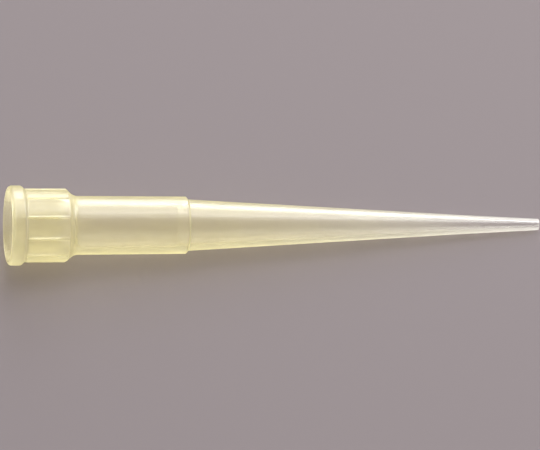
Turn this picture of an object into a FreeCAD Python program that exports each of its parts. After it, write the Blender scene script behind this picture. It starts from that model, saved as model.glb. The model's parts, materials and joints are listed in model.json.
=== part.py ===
import FreeCAD, Part
import math
import os

# A yellow 200 microlitre pipette tip, moulded in one piece of polypropylene.
#
# The tip is a turned form, so it is drawn with two numbers: s, the distance along the axis from the
# mouth, and r, the distance from the axis. A mould makes it from a cavity (the outside, with the ribs
# cut into it) and a core pin (the bore), and this script does the same.
# The tip can't stand unheld, so at the end it is laid down as it comes to rest: the mouth towards -X,
# the point towards +X, and the origin on the surface it lies on, below the middle of its box.

# ---- Driving dimensions: millimetres and degrees ----

tip_length = 51.0          # mouth to point
point_length = 7.0         # the last stretch, with a finer taper than the cone before it

# The bore: what the pipette's nozzle goes into, and what the liquid goes up.
nozzle_diameter = 5.5      # the widest part of the nozzle that goes into the mouth
nozzle_clearance = 0.1     # gap all round the nozzle, where the bore guides it
lead_in_width = 0.5        # how far the mouth flares, all round
lead_in_depth = 0.5
guide_depth = 4.4          # mouth to the end of the straight guide bore
funnel_length = 1.5        # from the guide bore to the sealing bore
funnel_narrowing = 0.43    # how far the funnel narrows the bore, all round
seal_length = 10.2         # the slightly tapered bore that seals on the nozzle's end
seal_narrowing = 0.17
ledge_length = 0.3         # the slanted ledge that ends the sealing bore
ledge_narrowing = 0.17
knee_bore = 1.14           # diameter of the liquid's bore where the finer taper begins
orifice_diameter = 0.44    # and at the point

# The walls round the bore.
collar_wall = 0.58         # over the guide bore
collar_base = 1.19         # length of the collar beyond the guide bore
body_wall = 0.375          # over the start of the sealing bore
body_end_wall = 0.47       # over its end
cone_wall = 0.36           # over the wide end of the cone's bore
knee_wall = 0.31
point_wall = 0.31

# The bead round the mouth, the shoulder below the collar and the step below the body.
rim_height = 0.37          # how far the bead stands out from the collar
rim_length = 1.42
shoulder_length = 0.63
step_lead = 0.93           # the step comes this far after the sealing bore has ended
step_length = 0.2

# Rounded corners of the outside. The core pin's corners are crisp.
lip_round = 0.34
rim_back_round = 0.4
collar_round = 0.3
shoulder_round = 1.2
step_round = 0.12

# The ribs along the collar.
rib_count = 10
rib_phase = 13.0           # angle of the first rib from the top, towards +Y
rib_width = 0.3
rib_height = 0.08

# ---- Worked out from the driving dimensions ----

guide_radius = nozzle_diameter / 2 + nozzle_clearance
seal_start_radius = guide_radius - funnel_narrowing
seal_end_radius = seal_start_radius - seal_narrowing
cone_bore_radius = seal_end_radius - ledge_narrowing
knee_bore_radius = knee_bore / 2
orifice_radius = orifice_diameter / 2

collar_radius = guide_radius + collar_wall
rim_radius = collar_radius + rim_height
body_radius = seal_start_radius + body_wall
body_end_radius = seal_end_radius + body_end_wall
cone_radius = cone_bore_radius + cone_wall
knee_radius = knee_bore_radius + knee_wall
point_radius = orifice_radius + point_wall

collar_end = guide_depth + collar_base
shoulder_end = collar_end + shoulder_length
seal_start = guide_depth + funnel_length
seal_end = seal_start + seal_length
step_start = seal_end + step_lead
step_end = step_start + step_length
knee = tip_length - point_length

overrun = 0.5              # the core pin passes both ends of the tip by this much
root_depth = 0.2           # how far a rib's section reaches into the collar's wall


def arc_reach(before, corner, after, rounding):
    """How far from the corner an arc of this radius touches the two straight runs."""
    opening = (before - corner).getAngle(after - corner)
    return rounding / math.tan(opening / 2)


def rounded_outline(corners):
    """A closed outline through (s, r, rounding) corners, with a tangent arc at each rounded one.

    Where two arcs don't both fit on the run between them, they share it."""
    points = [FreeCAD.Vector(s, 0, r) for s, r, rounding in corners]
    around = [(points[i - 1], points[i], points[(i + 1) % len(points)]) for i in range(len(points))]
    wanted = [arc_reach(*three, corner[2]) for three, corner in zip(around, corners)]

    ends = []
    arcs = []
    for i, (before, corner, after) in enumerate(around):
        reach = wanted[i]
        if reach == 0:
            ends.append((corner, corner))
            continue
        for other, run in ((i - 1, before - corner), ((i + 1) % len(points), after - corner)):
            reach = min(reach, 0.99 * run.Length * wanted[i] / (wanted[i] + wanted[other]))
        back = (before - corner).normalize()
        ahead = (after - corner).normalize()
        half = back.getAngle(ahead) / 2
        radius = reach * math.tan(half)
        middle = corner + (back + ahead).normalize() * (radius / math.sin(half) - radius)
        ends.append((corner + back * reach, corner + ahead * reach))
        arcs.append(Part.Arc(ends[-1][0], middle, ends[-1][1]).toShape())

    lines = [Part.makeLine(ends[i - 1][1], ends[i][0]) for i in range(len(ends))]
    return Part.Wire(Part.sortEdges(lines + arcs)[0])


def turned(outline):
    """The solid that an outline makes when it is turned round the axis."""
    return Part.Face(outline).revolve(FreeCAD.Vector(0, 0, 0), FreeCAD.Vector(1, 0, 0), 360)


def outside_outline():
    """Bead, collar, shoulder, body, step, cone and point, from the mouth on."""
    return rounded_outline([
        (0, 0, 0),
        (0, rim_radius, lip_round),
        (rim_length, rim_radius, rim_back_round),
        (rim_length, collar_radius, 0),
        (collar_end, collar_radius, collar_round),
        (shoulder_end, body_radius, shoulder_round),
        (step_start, body_end_radius, step_round),
        (step_end, cone_radius, 0),
        (knee, knee_radius, 0),
        (tip_length, point_radius, 0),
        (tip_length, 0, 0),
    ])


def core_outline():
    """Flared mouth, guide bore, funnel, sealing bore, ledge and the long bore to the orifice."""
    flare = lead_in_width / lead_in_depth
    corners = [
        (-overrun, 0),
        (-overrun, guide_radius + lead_in_width + overrun * flare),
        (lead_in_depth, guide_radius),
        (guide_depth, guide_radius),
        (seal_start, seal_start_radius),
        (seal_end, seal_end_radius),
        (seal_end + ledge_length, cone_bore_radius),
        (knee, knee_bore_radius),
        (tip_length, orifice_radius),
        (tip_length + overrun, orifice_radius),
        (tip_length + overrun, 0),
    ]
    points = [FreeCAD.Vector(s, 0, r) for s, r in corners]
    return Part.makePolygon(points + points[:1])


def collar_ribs():
    """Low ribs with round backs, from the bead to the shoulder, where they run out."""
    start = rim_length - rim_back_round
    half_width = rib_width / 2
    flank = math.sqrt(collar_radius ** 2 - half_width ** 2)
    corners = [
        FreeCAD.Vector(start, half_width, flank),
        FreeCAD.Vector(start, half_width, flank - root_depth),
        FreeCAD.Vector(start, -half_width, flank - root_depth),
        FreeCAD.Vector(start, -half_width, flank),
    ]
    top = FreeCAD.Vector(start, 0, collar_radius + rib_height)
    section = Part.Wire([Part.Arc(corners[3], top, corners[0]).toShape(), *Part.makePolygon(corners).Edges])
    bar = Part.Face(section).extrude(FreeCAD.Vector(shoulder_end - start, 0, 0))

    envelope = turned(rounded_outline([
        (start, 0, 0),
        (start, collar_radius + rib_height, 0),
        (collar_end, collar_radius + rib_height, collar_round),
        (shoulder_end, body_radius, 0),
        (shoulder_end, 0, 0),
    ]))
    rib = bar.common(envelope)

    ribs = []
    for i in range(rib_count):
        angle = -rib_phase + i * 360 / rib_count
        copy = rib.copy()
        copy.rotate(FreeCAD.Vector(0, 0, 0), FreeCAD.Vector(1, 0, 0), angle)
        ribs.append(copy)
    return ribs


def resting_tilt(solid, outline):
    """The angle at which the tip lies, in degrees.

    It touches the surface on two of its circles, one each side of its centre of mass. Of all such
    pairs, they are the two whose common tangent line is furthest from the axis at that centre."""
    centre = solid.CenterOfMass.x
    circles = [(vertex.Point.x, vertex.Point.z) for vertex in outline.Vertexes]
    tangents = []
    for front_s, front_r in circles:
        for back_s, back_r in circles:
            if front_s <= centre < back_s:
                slope = (front_r - back_r) / (back_s - front_s)
                tangents.append((front_r - slope * (centre - front_s), slope))
    return math.degrees(math.atan(max(tangents)[1]))


def laid_down(solid, tilt):
    """The tip lying on the surface z = 0, with the origin below the middle of its box."""
    lying = solid.copy()
    lying.rotate(FreeCAD.Vector(0, 0, 0), FreeCAD.Vector(0, 1, 0), tilt)
    box = lying.optimalBoundingBox(False)
    lying.translate(FreeCAD.Vector(-box.Center.x, -box.Center.y, -box.ZMin))
    return lying


def pipette_tip():
    """The whole tip, as it is moulded, lying at rest."""
    outside = turned(outside_outline()).multiFuse(collar_ribs())
    tip = outside.cut(turned(core_outline())).removeSplitter()
    solid = tip.Solids[0]
    tilt = resting_tilt(solid, outside_outline())
    print(f"solids {len(tip.Solids)}, volume {solid.Volume:.2f} mm3, centre of mass at s = "
          f"{solid.CenterOfMass.x:.2f} mm, lies at {tilt:.3f} degrees")
    return laid_down(solid, tilt)


os.makedirs("parts", exist_ok=True)
part = pipette_tip()
box = part.optimalBoundingBox(False)
print(f"box {box.XLength:.3f} x {box.YLength:.3f} x {box.ZLength:.3f} mm, valid {part.isValid()}")
part.exportStep("parts/pipette_tip.step")
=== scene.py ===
# %% [markdown]
# # A yellow pipette tip, lying on a pale table
# The tip is one moulding of polypropylene: a hollow, tapered tube with a bead round its mouth, a
# ribbed collar, a plain body, a small step and a long cone that ends in a fine point. The packed
# model gives its place and its true size. This script makes the same wall again as a much finer
# mesh, gives it a milky, see-through yellow finish, and sets up the table, the lamps and the camera.

import json
import math

import bpy
import numpy as np
from mathutils import Matrix, Vector


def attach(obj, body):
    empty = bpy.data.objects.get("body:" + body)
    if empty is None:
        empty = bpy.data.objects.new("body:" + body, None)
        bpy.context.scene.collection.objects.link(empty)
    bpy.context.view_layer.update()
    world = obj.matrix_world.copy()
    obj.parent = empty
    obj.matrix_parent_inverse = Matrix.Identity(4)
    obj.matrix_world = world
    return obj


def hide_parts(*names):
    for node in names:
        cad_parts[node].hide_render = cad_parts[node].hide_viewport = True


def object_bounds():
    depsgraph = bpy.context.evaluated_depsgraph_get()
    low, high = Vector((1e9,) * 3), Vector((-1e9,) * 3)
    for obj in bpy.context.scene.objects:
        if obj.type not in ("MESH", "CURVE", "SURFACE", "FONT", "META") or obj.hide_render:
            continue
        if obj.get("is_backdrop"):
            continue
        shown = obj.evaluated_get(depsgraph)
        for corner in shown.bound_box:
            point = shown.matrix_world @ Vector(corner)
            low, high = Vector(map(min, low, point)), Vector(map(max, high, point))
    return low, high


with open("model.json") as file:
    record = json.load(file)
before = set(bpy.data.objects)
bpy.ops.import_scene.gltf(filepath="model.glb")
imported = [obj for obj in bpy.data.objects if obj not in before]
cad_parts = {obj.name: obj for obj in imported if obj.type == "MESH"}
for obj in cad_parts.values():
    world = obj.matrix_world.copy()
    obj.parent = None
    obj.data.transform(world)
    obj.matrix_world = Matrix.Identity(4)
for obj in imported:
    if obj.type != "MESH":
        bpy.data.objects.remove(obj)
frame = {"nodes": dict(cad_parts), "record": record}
cad_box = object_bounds()
MM = 0.001
print("box of the packed model in mm:", [round(v / MM, 2) for corner in cad_box for v in corner])

# %% [markdown]
# ## Where the tip's axis lies
# The tip rests on its bead and on its point, so its axis isn't level. Every ring of the wall is
# centred on that axis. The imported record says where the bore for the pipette's nozzle is and which
# way it faces, and that line is the axis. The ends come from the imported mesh: its first and last
# vertex along that line.

# %% Axis, mouth and length
socket = next(m for m in frame["record"]["mounts"] if m["name"] == "nozzle_socket")
socket_place = Vector(socket["pos_m"])
to_point = -Vector(socket["axis"]).normalized()
cad_mesh = frame["nodes"]["pipette_tip"].data
stations = [(v.co - socket_place).dot(to_point) for v in cad_mesh.vertices]
mouth = socket_place + to_point * min(stations)
tip_length = (max(stations) - min(stations)) / MM
tilt = math.asin(-to_point.z)
print("mouth in mm:", [round(v / MM, 2) for v in mouth])
print(f"length {tip_length:.2f} mm, tilt {math.degrees(tilt):.2f} degrees")

# %% [markdown]
# ## The tip's section
# A turned part is fully given by half of its section: s is the distance from the mouth along the
# axis, and r the distance from the axis, both in millimetres. The wall goes once round: over the
# end face of the mouth, along the outside to the point, over its end face, and back through the
# bore. Each corner has a small rounding, as moulded plastic has, because a mathematically sharp
# edge catches no light. The back of the bead and the ledge in the bore get a soft slope, because a
# core pin and a mould are polished and have no crisp inner corners.

# %% Sizes of the wall
collar_wall = 0.58
bead_height = 0.37
guide_radius = socket["dims"]["r_mm"]    # straight bore that guides the nozzle
collar_radius = guide_radius + collar_wall
bead_radius = collar_radius + bead_height
bead_length = 1.42
bead_slope = 0.14                        # how far the bead's back leans, each way
collar_end = 5.59
shoulder_end = 6.22
body_radius = 2.795
body_end_radius = 2.72
step_start, step_end = 17.03, 17.23
cone_radius = 2.44
point_length = 7.0
knee = tip_length - point_length         # where the cone turns into the finer point
knee_radius = 0.88
point_radius = 0.53

flare_depth = 0.5                        # the mouth flares at 45 degrees
flare_radius = guide_radius + flare_depth
guide_end = 4.4
seal_start, seal_start_radius = 5.9, 2.42
seal_end, seal_end_radius = 16.1, 2.25
ledge_end, cone_bore_radius = 16.4, 2.08
ledge_slope = 0.15                       # how much longer the ledge is at each end
knee_bore_radius = 0.57
orifice_radius = 0.22

# Each corner is (s, r, rounding), all in millimetres.
outside = [
    (0, bead_radius, 0.34),
    (bead_length - bead_slope, bead_radius, 0.45),
    (bead_length + bead_slope, collar_radius, 0.45),
    (collar_end, collar_radius, 0.30),
    (shoulder_end, body_radius, 1.20),
    (step_start, body_end_radius, 0.12),
    (step_end, cone_radius, 0.05),
    (knee, knee_radius, 3.0),
    (tip_length, point_radius, 0.09),
]
bore = [
    (tip_length, orifice_radius, 0.04),
    (knee, knee_bore_radius, 3.0),
    (ledge_end + ledge_slope, cone_bore_radius, 1.1),
    (seal_end - ledge_slope, seal_end_radius, 1.1),
    (seal_start, seal_start_radius, 0.4),
    (guide_end, guide_radius, 0.3),
    (flare_depth, guide_radius, 0.15),
    (0, flare_radius, 0.09),
]

# %% [markdown]
# ## From corners to a smooth line
# Blender can round a curve's corners with a bevel, but it uses one radius for all of them. Here each
# corner has its own, so a short function lays an arc into each corner and puts extra points on the
# long straight runs. Even spacing keeps the shading clean, and later lets patterns follow the wall.

# %% Round the corners
ARC_STEPS = 8
LONGEST_RUN = 0.55   # mm between two rings on a straight stretch


def rounded_section(corners):
    """Points (s, r) once round the section, with an arc in each corner."""
    places = [Vector((s, r)) for s, r, rounding in corners]
    line = []
    for i, corner in enumerate(places):
        back = (places[i - 1] - corner).normalized()
        ahead = (places[(i + 1) % len(places)] - corner).normalized()
        half = back.angle(ahead) / 2
        radius = corners[i][2]
        centre = corner + (back + ahead).normalized() * radius / math.sin(half)
        start = corner + back * radius / math.tan(half) - centre
        end = corner + ahead * radius / math.tan(half) - centre
        turn = start.angle_signed(end)
        for k in range(ARC_STEPS + 1):
            swing = Matrix.Rotation(-turn * k / ARC_STEPS, 2)
            line.append(centre + swing @ start)
    return line


def with_more_points(line):
    """The same closed line, with no stretch longer than LONGEST_RUN."""
    finer = []
    for here, after in zip(line, line[1:] + line[:1]):
        count = max(1, math.ceil((after - here).length / LONGEST_RUN))
        finer += [here.lerp(after, k / count) for k in range(count)]
    return finer


section = with_more_points(rounded_section(outside + bore))
print(f"{len(section)} points round the section")

# %% [markdown]
# ## Ribs on the collar
# Ten low ribs with round backs run along the collar, so that gloved fingers can hold it. They could
# be ten strips laid on the collar, but on a see-through part every hidden face shows. So they are
# part of the one skin: where a rib stands, the ring's points move outwards.

# %% Height of the ribs
RIB_COUNT = 10
RIB_HALF_WIDTH = 0.15
RIB_HEIGHT = 0.08
RIB_RUN_OUT = 0.1               # where a rib starts to sink, in front of the shoulder
HAIR = 0.01                     # so that a point on a border isn't missed
FIRST_RIB = math.radians(13)    # from the top of the lying tip, towards +Y


def rib_top(s):
    """Distance from the axis to the back of a rib at station s, or 0 where no rib stands."""
    if s < bead_length - HAIR or s > shoulder_end:
        return 0.0
    level_end = collar_end - RIB_RUN_OUT
    if s <= level_end:
        return collar_radius + RIB_HEIGHT
    share = (s - level_end) / (shoulder_end - level_end)
    return (collar_radius + RIB_HEIGHT) * (1 - share) + body_radius * share


def ring_radius(s, r, offset):
    """The distance from the axis at this point of the section, offset mm beside a rib's middle."""
    if abs(offset) >= RIB_HALF_WIDTH or r < body_radius - HAIR:
        return r
    across = 1 - (offset / RIB_HALF_WIDTH) ** 2
    return r + max(0.0, rib_top(s) - r) * across


# %% Directions round the ring
FINE_REACH = 1.25      # how far past its middle a rib gets close directions, in half-widths
FINE_COUNT = 11
COARSE_COUNT = 13

rib_pitch = 2 * math.pi / RIB_COUNT
rib_edge = RIB_HALF_WIDTH / collar_radius
on_rib = np.linspace(-FINE_REACH, FINE_REACH, FINE_COUNT) * rib_edge
between = np.linspace(on_rib[-1], rib_pitch + on_rib[0], COARSE_COUNT)[1:-1]
one_pitch = np.concatenate([on_rib, between])
around = [(FIRST_RIB + i * rib_pitch + a, a if a < rib_pitch / 2 else a - rib_pitch)
          for i in range(RIB_COUNT) for a in one_pitch]
print(f"{len(around)} directions round the axis")

# %% [markdown]
# ## Turning the section into a skin
# A Screw modifier could turn the section, but it makes equal rings with no ribs. A grid made in code
# is as short: one ring of vertices for each point of the section, and a face between each pair of
# neighbours both ways. The section is closed and so is each ring, so the skin has no open edge.

# %% Build the skin
side = Vector((0, 1, 0))
up = side.cross(to_point).normalized()
if up.z < 0:
    up = -up


def turned_skin(name):
    """The whole wall, outside and bore, as one closed mesh in metres."""
    rings, turns = len(section), len(around)
    vertices = []
    for s, r in section:
        for angle, from_rib in around:
            distance = ring_radius(s, r, from_rib * collar_radius)
            away = up * math.cos(angle) + side * math.sin(angle)
            vertices.append(mouth + (to_point * s + away * distance) * MM)
    faces = []
    for i in range(rings):
        for j in range(turns):
            ahead, beside = (i + 1) % rings, (j + 1) % turns
            here, there = i * turns, ahead * turns
            faces.append((here + j, there + j, there + beside, here + beside))
    mesh = bpy.data.meshes.new(name)
    mesh.from_pydata(vertices, [], faces)
    mesh.shade_smooth()
    skin = bpy.data.objects.new(name, mesh)
    bpy.context.scene.collection.objects.link(skin)
    return skin


tip = turned_skin("tip_wall")
tip.modifiers.new("even_shading", "WEIGHTED_NORMAL")
lowest = min(v.co.z for v in tip.data.vertices)
triangles = 2 * len(tip.data.polygons)
print(f"{triangles} triangles, lowest point {lowest / MM:.3f} mm")

# %% [markdown]
# ## A short way to wire nodes
# A finish is a net of nodes, and written out link by link it gets long. This helper holds one new
# material. It adds a node, sets its options, and gives each of its sockets a number, a colour or
# another node's output. The same could be clicked together in the shader editor, but then nobody
# could read it from top to bottom.

# %% Wiring helper
class Wiring:
    """The nodes of one new material, with short ways to add and link them."""

    def __init__(self, name):
        self.material = bpy.data.materials.new(name)
        self.material.use_nodes = True
        self.nodes = self.material.node_tree.nodes
        self.nodes.clear()

    def add(self, kind, inputs=None, **options):
        """A new node with these options and these inputs."""
        node = self.nodes.new(kind)
        for option, value in options.items():
            setattr(node, option, value)
        for key, value in (inputs or {}).items():
            if isinstance(value, bpy.types.NodeSocket):
                self.material.node_tree.links.new(value, node.inputs[key])
            else:
                node.inputs[key].default_value = value
        return node

    def ramp(self, value, start, end):
        """0 before start, 1 after end, and a soft rise between."""
        inputs = {0: value, 1: start, 2: end}
        return self.add("ShaderNodeMapRange", inputs, interpolation_type="SMOOTHSTEP").outputs[0]

    def maths(self, operation, *values):
        """The result of one sum with numbers."""
        return self.add("ShaderNodeMath", dict(enumerate(values)), operation=operation).outputs[0]

    def vector(self, operation, inputs, output=0):
        """The result of one sum with vectors."""
        return self.add("ShaderNodeVectorMath", inputs, operation=operation).outputs[output]

    def colour(self, share, a, b):
        """Colour a where share is 0, colour b where it is 1."""
        return self.add("ShaderNodeMix", {0: share, 6: a, 7: b}, data_type="RGBA").outputs[2]

    def number(self, share, a, b):
        """Number a where share is 0, number b where it is 1."""
        return self.add("ShaderNodeMix", {0: share, 2: a, 3: b}, data_type="FLOAT").outputs[0]

    def blend(self, share, a, b):
        """Shader a where share is 0, shader b where it is 1."""
        return self.add("ShaderNodeMixShader", {0: share, 1: a.outputs[0], 2: b.outputs[0]})

    def seen_directly(self):
        """1 for a look from the camera, in a reflection or through a wall, 0 for other light."""
        rays = self.add("ShaderNodeLightPath").outputs
        share = self.maths("MAXIMUM", rays["Is Camera Ray"], rays["Is Glossy Ray"])
        return self.maths("MAXIMUM", share, rays["Is Transmission Ray"])

    def finish(self, shader):
        """The material, with this shader on its surface."""
        self.add("ShaderNodeOutputMaterial", {"Surface": shader.outputs[0]})
        print(f"{self.material.name}: {len(self.nodes)} nodes")
        return self.material


# %% [markdown]
# ## Yellow polypropylene
# Natural polypropylene is milky, because its crystals scatter light, and a yellow dye tints it. Two
# things happen at once in such a wall: part of the light goes straight through, as in glass, and part
# is scattered. So the finish mixes a clear, refracting shader with a milky one. The milk wins where
# the wall is seen aslant and in the thick collar, and towards the thin point it gives way and the
# yellow fades. Subsurface scattering would be the other way to do it, but it can't be seen through.

# %% Colours and shares
CLEAR_TINT = (1.0, 0.972, 0.86, 1)
CLEAR_TINT_AT_POINT = (1.0, 1.0, 0.99, 1)
MILK = (0.975, 0.93, 0.605, 1)
MILK_AT_POINT = (0.95, 0.94, 0.92, 1)
GLOW_SHARE = 0.63         # how much of the milk's light goes on to the far side of the wall

# The share of milk where the wall is seen square on, and where it is seen aslant.
OUTSIDE = {"collar": (0.38, 0.77), "body": (0.1, 0.8), "point": (0.02, 0.8)}
BORE = {"collar": (0.12, 0.5), "body": (0.12, 0.5), "point": (0.0, 0.0)}

PLASTIC_IOR = 1.49
SKIN_ROUGH = 0.2          # the moulded skin is satin
ROUGH_AT_POINT = 0.05     # and nearly polished at the point
SHEEN_ROUGH = 0.33        # a wider, softer gloss over it
MILK_ROUGH = 0.4
MILK_SHEEN_ROUGH = 0.3

# %% [markdown]
# ## Streaks and clouds in the skin
# Plastic flows along the mould from the collar to the point, and it leaves streaks that way, less
# than 0.3 mm wide and some micrometres high. They come from a fine noise that is stretched along the
# axis. A wave pattern would give streaks too, but evenly combed ones. A second, softer noise makes
# faint clouds some millimetres across, where the wall is more or less milky.

# %% Patterns along the axis
STREAK_SCALE = 3600
STREAK_STRETCH = 0.96     # the share of the length that the streaks' noise doesn't see
CLOUD_SCALE = 420


def wall_patterns(wiring):
    """The station along the axis in metres, the streaks and the clouds."""
    place = wiring.add("ShaderNodeTexCoord").outputs["Object"]
    from_mouth = wiring.vector("SUBTRACT", {0: place, 1: mouth})
    station = wiring.vector("DOT_PRODUCT", {0: from_mouth, 1: to_point}, "Value")
    backwards = wiring.maths("MULTIPLY", station, -STREAK_STRETCH)
    shift = wiring.vector("SCALE", {0: to_point, "Scale": backwards})
    squeezed = wiring.vector("ADD", {0: from_mouth, 1: shift})
    streaks = wiring.add(
        "ShaderNodeTexNoise", {"Vector": squeezed, "Scale": STREAK_SCALE, "Detail": 3})
    clouds = wiring.add(
        "ShaderNodeTexNoise", {"Vector": from_mouth, "Scale": CLOUD_SCALE, "Detail": 2})
    return station, streaks.outputs[0], clouds.outputs[0]


# %% [markdown]
# ## How milky each place is
# The collar is almost twice as thick as the cone, and a slanting look meets more plastic than a
# square one. The mix follows both: a Layer Weight node tells how aslant the wall is seen, and soft
# ramps along the axis lead from the collar to the body and on to the clear point. At the point the
# wall is thick for its width, so the milk comes in sooner there, as a pale rim on each side.

# %% Share of milk
PAST_COLLAR = (4.5 * MM, 7.2 * MM)    # from the mouth
NEAR_POINT = (36 * MM, 50 * MM)
ASLANT = (0.1, 0.9)                   # 0 is square on, 1 is along the wall
ASLANT_AT_POINT = (0.06, 0.2)
CLOUD_DEPTH = 0.16                    # how much the clouds change the share


def milk_share(wiring, station, clouds, shares):
    """The share of the milky shader, between 0 and 1."""
    facing = wiring.add("ShaderNodeLayerWeight", {"Blend": 0.5}).outputs["Facing"]
    aslant = wiring.ramp(facing, *ASLANT)
    aslant_at_point = wiring.ramp(facing, *ASLANT_AT_POINT)
    collar, body = (wiring.number(aslant, *shares[k]) for k in ("collar", "body"))
    point = wiring.number(aslant_at_point, *shares["point"])
    past_collar = wiring.ramp(station, *PAST_COLLAR)
    near_point = wiring.ramp(station, *NEAR_POINT)
    share = wiring.number(near_point, wiring.number(past_collar, collar, body), point)
    cloud = wiring.maths("MULTIPLY_ADD", clouds, CLOUD_DEPTH, -CLOUD_DEPTH / 2)
    return wiring.maths("ADD", share, cloud)


# %% [markdown]
# ## The two shaders of the wall
# The clear one refracts like the plastic itself, and its roughness follows the streaks. The milky
# one is half paint and half lampshade: part of it scatters light back, and the rest passes it on.
# Both get a coat, which is the soft gloss of the moulded skin. The bore's clear shader has none,
# because a polished core pin formed it and the light there comes through the wall anyway.

# %% Clear and milky shader
YELLOW_FADES = (12 * MM, 56 * MM)     # from the mouth; the tip ends before the fading does
GRAIN_DEPTH = 0.12                    # how much the streaks change the roughness
LEAST_ROUGH = 0.03


def clear_shader(wiring, station, streaks, relief, coat):
    """Refracting plastic, satin at the mouth's end and nearly polished at the point."""
    fade = wiring.ramp(station, *YELLOW_FADES)
    near_point = wiring.ramp(station, *NEAR_POINT)
    rough = wiring.number(near_point, SKIN_ROUGH, ROUGH_AT_POINT)
    grain = wiring.maths("MULTIPLY_ADD", streaks, GRAIN_DEPTH, -GRAIN_DEPTH / 2)
    return wiring.add("ShaderNodeBsdfPrincipled", {
        "Base Color": wiring.colour(fade, CLEAR_TINT, CLEAR_TINT_AT_POINT),
        "Roughness": wiring.maths("MAXIMUM", wiring.maths("ADD", rough, grain), LEAST_ROUGH),
        "IOR": PLASTIC_IOR, "Transmission Weight": 1.0, "Normal": relief,
        "Coat Weight": coat, "Coat Roughness": SHEEN_ROUGH})


def milky_shader(wiring, station, relief):
    """Plastic that scatters some of the light back and passes the rest on, without a clear view."""
    fade = wiring.ramp(station, *YELLOW_FADES)
    colour = wiring.colour(fade, MILK, MILK_AT_POINT)
    surface = wiring.add("ShaderNodeBsdfPrincipled", {
        "Base Color": colour, "Roughness": MILK_ROUGH, "IOR": PLASTIC_IOR, "Normal": relief,
        "Coat Weight": 1.0, "Coat Roughness": MILK_SHEEN_ROUGH})
    through = wiring.add("ShaderNodeBsdfTranslucent", {"Color": colour})
    return wiring.blend(GLOW_SHARE, surface, through)


# %% [markdown]
# ## Light that comes through
# A thin wall of this plastic casts almost no shadow, and lamp light fills the whole tip and makes it
# glow. To follow all that light through four faces of plastic would take very long. Instead, light
# on its way from a lamp passes most of each face straight, slightly tinted.

# %% The whole finish
LET_THROUGH = (1.0, 0.99, 0.93, 1)
LET_SHARE = 0.85
STREAK_HEIGHT = 0.01 * MM


def plastic(name, shares, coat):
    """Milky yellow plastic for one side of the wall."""
    wiring = Wiring(name)
    station, streaks, clouds = wall_patterns(wiring)
    bump = {"Strength": 0.5, "Distance": STREAK_HEIGHT, "Height": streaks}
    relief = wiring.add("ShaderNodeBump", bump).outputs[0]
    clear = clear_shader(wiring, station, streaks, relief, coat)
    milky = milky_shader(wiring, station, relief)
    wall = wiring.blend(milk_share(wiring, station, clouds, shares), clear, milky)
    rays = wiring.add("ShaderNodeLightPath").outputs["Is Shadow Ray"]
    open_share = wiring.maths("MULTIPLY", rays, LET_SHARE)
    opening = wiring.add("ShaderNodeBsdfTransparent", {"Color": LET_THROUGH})
    return wiring.finish(wiring.blend(open_share, wall, opening))


tip.data.materials.append(plastic("yellow_polypropylene", OUTSIDE, 1.0))
tip.data.materials.append(plastic("yellow_polypropylene_bore", BORE, 0.0))

# %% [markdown]
# ## Outside and bore
# The faces were made ring by ring: first the outside from the mouth to the point, then the bore on
# the way back. So the number of a face tells which side it is on, and no face has to be picked by
# hand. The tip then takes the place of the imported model.

# %% Sides of the wall, and the tip's place in the frame
end_face_middle = (point_radius + orifice_radius) / 2
first_bore_ring = next(i for i, (s, r) in enumerate(section) if r < end_face_middle)
for face in tip.data.polygons:
    face.material_index = int(face.index // len(around) >= first_bore_ring)
in_bore = sum(face.material_index for face in tip.data.polygons)
print(f"{len(tip.data.polygons) - in_bore} faces outside, {in_bore} in the bore")
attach(tip, "root")
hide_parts("pipette_tip")

# %% [markdown]
# ## Table
# A plain, matt, pale grey table with a touch of mauve. Near the tip it is a real lit surface, so it
# takes the tip's shadow. Further off it turns softly into a plain colour of the same paleness, as a
# curved paper backdrop does, so that a low look along the table has no dark or bright patches. The
# world has that colour as well. A modelled backdrop would stand in the way of some views.

# %% Table and backdrop
TABLE_COLOUR = (0.283, 0.254, 0.262, 1)
BACKDROP = (0.352, 0.309, 0.307, 1)
TABLE_HALF = 6.0
LIT_RADIUS, PLAIN_RADIUS = 0.05, 0.25

table_wiring = Wiring("table_top")
lit = table_wiring.add("ShaderNodeBsdfDiffuse", {"Color": TABLE_COLOUR})
plain = table_wiring.add("ShaderNodeEmission", {"Color": BACKDROP})
spot = table_wiring.add("ShaderNodeTexCoord").outputs["Object"]
far = table_wiring.ramp(table_wiring.vector("LENGTH", {0: spot}, "Value"), LIT_RADIUS, PLAIN_RADIUS)
plain_share = table_wiring.maths("MULTIPLY", far, table_wiring.seen_directly())
table_paint = table_wiring.finish(table_wiring.blend(plain_share, lit, plain))

corners = [(x * TABLE_HALF, y * TABLE_HALF, 0) for x, y in ((-1, -1), (1, -1), (1, 1), (-1, 1))]
table_mesh = bpy.data.meshes.new("table")
table_mesh.from_pydata(corners, [], [(0, 1, 2, 3)])
table_mesh.materials.append(table_paint)
table = bpy.data.objects.new("table", table_mesh)
bpy.context.scene.collection.objects.link(table)
table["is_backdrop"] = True

# %% [markdown]
# ## Lamps
# Five soft boxes and an even, pale surrounding. The key box stands behind the tip and lays the white
# band along the upper side. Two boxes above it widen that band and light the table and the milk in
# the wall. The one beyond the point shines on the shoulder, the step and the point's end face, and a
# long, low box in front fills the lower side. One bare lamp would be simpler, but its small hard
# highlights make plastic look wet.

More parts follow.
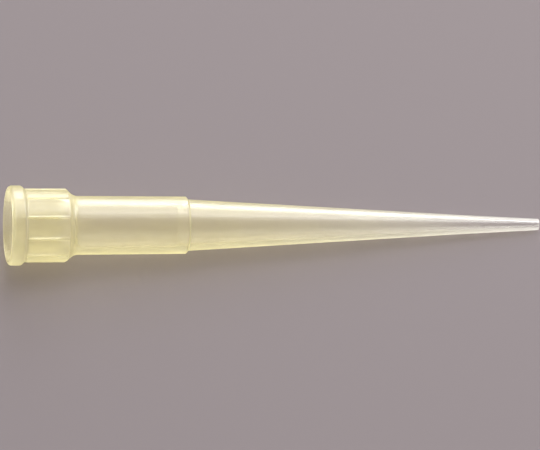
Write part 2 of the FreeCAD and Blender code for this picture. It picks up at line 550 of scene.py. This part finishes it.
# %% Lamps and surrounding
def soft_box(name, place, aim, size, watts):
    """A rectangular soft box at place that faces aim, all in metres."""
    lamp = bpy.data.lights.new(name, "AREA")
    lamp.shape = "RECTANGLE"
    lamp.size, lamp.size_y = size
    lamp.energy = watts
    box = bpy.data.objects.new(name, lamp)
    box.location = place
    box.rotation_euler = (Vector(aim) - Vector(place)).to_track_quat("-Z", "Y").to_euler()
    box.visible_camera = False
    bpy.context.scene.collection.objects.link(box)
    print(f"{name}: {watts} W, {(Vector(aim) - Vector(place)).length:.2f} m away")


soft_box("key_box", (0.09, 0.45, 0.22), (0.09, 0, 0.22), (0.3, 0.3), 1.3)
soft_box("upper_box", (0.15, 0.27, 0.48), (0.05, 0, 0), (0.5, 0.4), 1.35)
soft_box("top_box", (0, 0.09, 0.49), (0, 0, 0), (0.4, 0.3), 0.55)
soft_box("side_box", (0.5, 0.3, 0.3), (0, 0, 0.1), (0.4, 0.35), 2.2)
soft_box("fill_box", (0, -0.6, 0.17), (0, 0, 0.17), (3.0, 0.34), 0.62)

world = bpy.data.worlds.new("studio")
bpy.context.scene.world = world
world.use_nodes = True
world.node_tree.nodes["Background"].inputs["Color"].default_value = BACKDROP

# %% [markdown]
# ## Camera
# The tip is seen from the side, with its axis level across the frame and the mouth a little towards
# the camera, so that the end face shows as a slim ellipse. The camera stands one rib to the side of
# straight above: the ribs look the same from there, and the key box's white band falls on the upper
# side. A very long lens keeps both edges of the cone straight and shows the true taper.

# %% Camera
LEAN = math.radians(8.5)          # from square on towards the mouth
ROLL = math.radians(0.12)         # the axis rises this much towards the point
LENS = 1000                       # very long, so the tip shows almost without perspective
FRAME_WIDTH = 51.3 * MM
MIDDLE = 25.13 * MM               # what the camera aims at, from the mouth

overhead = up * math.cos(rib_pitch) - side * math.sin(rib_pitch)
back = overhead * math.cos(LEAN) - to_point * math.sin(LEAN)
level = (to_point - back * to_point.dot(back)).normalized()
upright = back.cross(level)
right = level * math.cos(ROLL) - upright * math.sin(ROLL)
top = upright * math.cos(ROLL) + level * math.sin(ROLL)

lens = bpy.data.cameras.new("camera")
lens.lens = LENS
lens.clip_start = 10 * MM
distance = FRAME_WIDTH * lens.lens / lens.sensor_width
place = mouth + to_point * MIDDLE + back * distance
turn = Matrix((right, top, back)).transposed().to_4x4()
camera = bpy.data.objects.new("camera", lens)
camera.matrix_world = Matrix.Translation(place) @ turn
bpy.context.scene.collection.objects.link(camera)
bpy.context.scene.camera = camera
bpy.context.scene.view_settings.view_transform = "Standard"
print(f"camera {distance:.2f} m away, {math.degrees(math.asin(back.z)):.0f} degrees above the table")

# %% [markdown]
# The fine mesh has to be the same size as the imported model, or the two can't stand for each other.
# Both boxes are printed side by side.

# %% Sizes of both models
seen_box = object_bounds()
for label, box in (("packed", cad_box), ("seen", seen_box)):
    print(f"{label} box in mm: {' x '.join(f'{(b - a) / MM:.2f}' for a, b in zip(*box))}")
